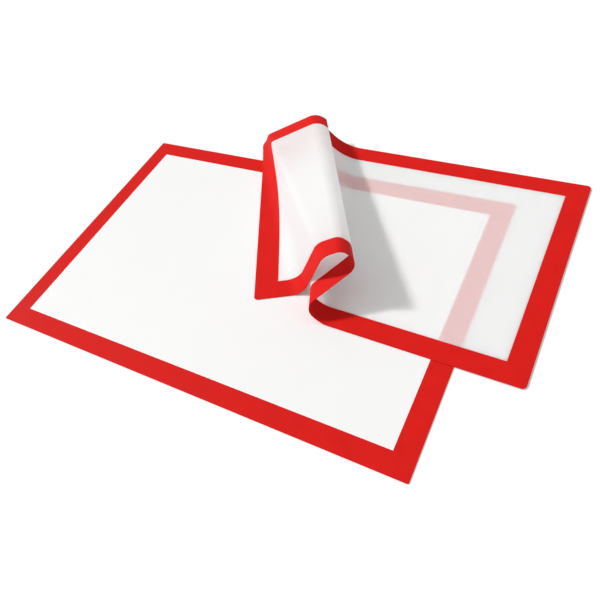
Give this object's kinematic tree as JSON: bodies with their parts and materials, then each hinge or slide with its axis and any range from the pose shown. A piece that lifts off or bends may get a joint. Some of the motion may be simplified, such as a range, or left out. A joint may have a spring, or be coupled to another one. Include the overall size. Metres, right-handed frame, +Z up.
{
  "type": "pastry mat",
  "caption": "Thin white silicone pastry mats with red borders: a small mat lies across a large one, its free end folded over; it unrolls flat and lifts off.",
  "frame": {"origin": "centre of the large mat's underside", "axes": "+X along the large mat's long side, +Y along its short side towards the back, +Z up"},
  "size_m": [0.6744, 0.4664, 0.0781],
  "materials": {
    "white_silicone": "translucent white silicone coat, satin, with the cloth's weave faintly showing",
    "red_silicone": "opaque red silicone, satin",
    "glass_cloth": "plain-woven glass fibre cloth"
  },
  "bodies": {
    "large_mat": {"large_cloth": "glass_cloth", "large_lower_coat": "white_silicone", "large_upper_coat": "white_silicone", "large_border": "red_silicone"},
    "small_base": {"small_cloth_base": "glass_cloth", "small_coat_base": "white_silicone", "small_border_base": "red_silicone"},
    "small_strip_1": {"small_cloth_strip_1": "glass_cloth", "small_coat_strip_1": "white_silicone", "small_front_border_strip_1": "red_silicone", "small_rear_border_strip_1": "red_silicone"},
    "small_strip_2": {"small_cloth_strip_2": "glass_cloth", "small_coat_strip_2": "white_silicone", "small_front_border_strip_2": "red_silicone", "small_rear_border_strip_2": "red_silicone"},
    "small_strip_3": {"small_cloth_strip_3": "glass_cloth", "small_coat_strip_3": "white_silicone", "small_front_border_strip_3": "red_silicone", "small_rear_border_strip_3": "red_silicone"},
    "small_strip_4": {"small_cloth_strip_4": "glass_cloth", "small_coat_strip_4": "white_silicone", "small_front_border_strip_4": "red_silicone", "small_rear_border_strip_4": "red_silicone"},
    "small_strip_5": {"small_cloth_strip_5": "glass_cloth", "small_coat_strip_5": "white_silicone", "small_front_border_strip_5": "red_silicone", "small_rear_border_strip_5": "red_silicone"},
    "small_strip_6": {"small_cloth_strip_6": "glass_cloth", "small_coat_strip_6": "white_silicone", "small_front_border_strip_6": "red_silicone", "small_rear_border_strip_6": "red_silicone"},
    "small_strip_7": {"small_cloth_strip_7": "glass_cloth", "small_coat_strip_7": "white_silicone", "small_front_border_strip_7": "red_silicone", "small_rear_border_strip_7": "red_silicone"},
    "small_strip_8": {"small_cloth_strip_8": "glass_cloth", "small_coat_strip_8": "white_silicone", "small_front_border_strip_8": "red_silicone", "small_rear_border_strip_8": "red_silicone"},
    "small_strip_9": {"small_cloth_strip_9": "glass_cloth", "small_coat_strip_9": "white_silicone", "small_front_border_strip_9": "red_silicone", "small_rear_border_strip_9": "red_silicone"},
    "small_strip_10": {"small_cloth_strip_10": "glass_cloth", "small_coat_strip_10": "white_silicone", "small_front_border_strip_10": "red_silicone", "small_rear_border_strip_10": "red_silicone"},
    "small_flap": {"small_cloth_flap": "glass_cloth", "small_coat_flap": "white_silicone", "small_border_flap": "red_silicone"}
  },
  "joints": [
    {"name": "lift_off", "type": "slide", "parent": "large_mat", "child": "small_base", "axis": [0, 0, 1], "range_m": [0, 0.2]},
    {"name": "crease_1", "type": "hinge", "parent": "small_base", "child": "small_strip_1", "pos_m": [0.14105, -0.05687, 0.00135], "axis": [-0.3056, 0.9521, 0], "range_deg": [-21.56, 0]},
    {"name": "crease_2", "type": "hinge", "parent": "small_strip_1", "child": "small_strip_2", "pos_m": [0.13056, -0.05647, 0.00525], "axis": [-0.3414, 0.9398, 0.0149], "range_deg": [-21.56, 0]},
    {"name": "crease_3", "type": "hinge", "parent": "small_strip_2", "child": "small_strip_3", "pos_m": [0.12014, -0.05516, 0.01405], "axis": [-0.3738, 0.9263, 0.0477], "range_deg": [-55.66, 0]},
    {"name": "crease_4", "type": "hinge", "parent": "small_strip_3", "child": "small_strip_4", "pos_m": [0.12005, -0.04992, 0.0266], "axis": [-0.3781, 0.9256, 0.0201], "range_deg": [-55.66, 0]},
    {"name": "crease_5", "type": "hinge", "parent": "small_strip_4", "child": "small_strip_5", "pos_m": [0.15815, -0.01034, 0.05122], "axis": [-0.5108, 0.8582, -0.0515], "range_deg": [0, 27.78]},
    {"name": "crease_6", "type": "hinge", "parent": "small_strip_5", "child": "small_strip_6", "pos_m": [0.16327, -0.0031, 0.06192], "axis": [-0.5265, 0.8466, -0.0776], "range_deg": [0, 55.64]},
    {"name": "crease_7", "type": "hinge", "parent": "small_strip_6", "child": "small_strip_7", "pos_m": [0.15679, -0.00226, 0.07642], "axis": [-0.5161, 0.8497, -0.1081], "range_deg": [0, 58.13]},
    {"name": "crease_8", "type": "hinge", "parent": "small_strip_7", "child": "small_strip_8", "pos_m": [0.15057, -0.00462, 0.0778], "axis": [-0.5664, 0.8187, -0.0944], "range_deg": [0, 34.88]},
    {"name": "crease_9", "type": "hinge", "parent": "small_strip_8", "child": "small_strip_9", "pos_m": [0.12678, -0.01492, 0.06722], "axis": [-0.6662, 0.7315, -0.1453], "range_deg": [0, 43.8]},
    {"name": "crease_10", "type": "hinge", "parent": "small_strip_9", "child": "small_strip_10", "pos_m": [0.09757, -0.02173, 0.00965], "axis": [-0.6206, 0.7842, 0], "range_deg": [-32.39, 0]},
    {"name": "crease_11", "type": "hinge", "parent": "small_strip_10", "child": "small_flap", "pos_m": [0.08537, -0.02741, 0.00135], "axis": [-0.6206, 0.7842, 0], "range_deg": [-32.39, 0]}
  ],
  "couplings": [
    {"joint": "crease_1", "follows": "crease_9", "ratio": -0.49201},
    {"joint": "crease_2", "follows": "crease_9", "ratio": -0.49201},
    {"joint": "crease_3", "follows": "crease_9", "ratio": -1.2705},
    {"joint": "crease_4", "follows": "crease_9", "ratio": -1.2705},
    {"joint": "crease_5", "follows": "crease_9", "ratio": 0.63407},
    {"joint": "crease_6", "follows": "crease_9", "ratio": 1.27},
    {"joint": "crease_7", "follows": "crease_9", "ratio": 1.3271},
    {"joint": "crease_8", "follows": "crease_9", "ratio": 0.79623},
    {"joint": "crease_10", "follows": "crease_9", "ratio": -0.73931},
    {"joint": "crease_11", "follows": "crease_9", "ratio": -0.73931}
  ]
}
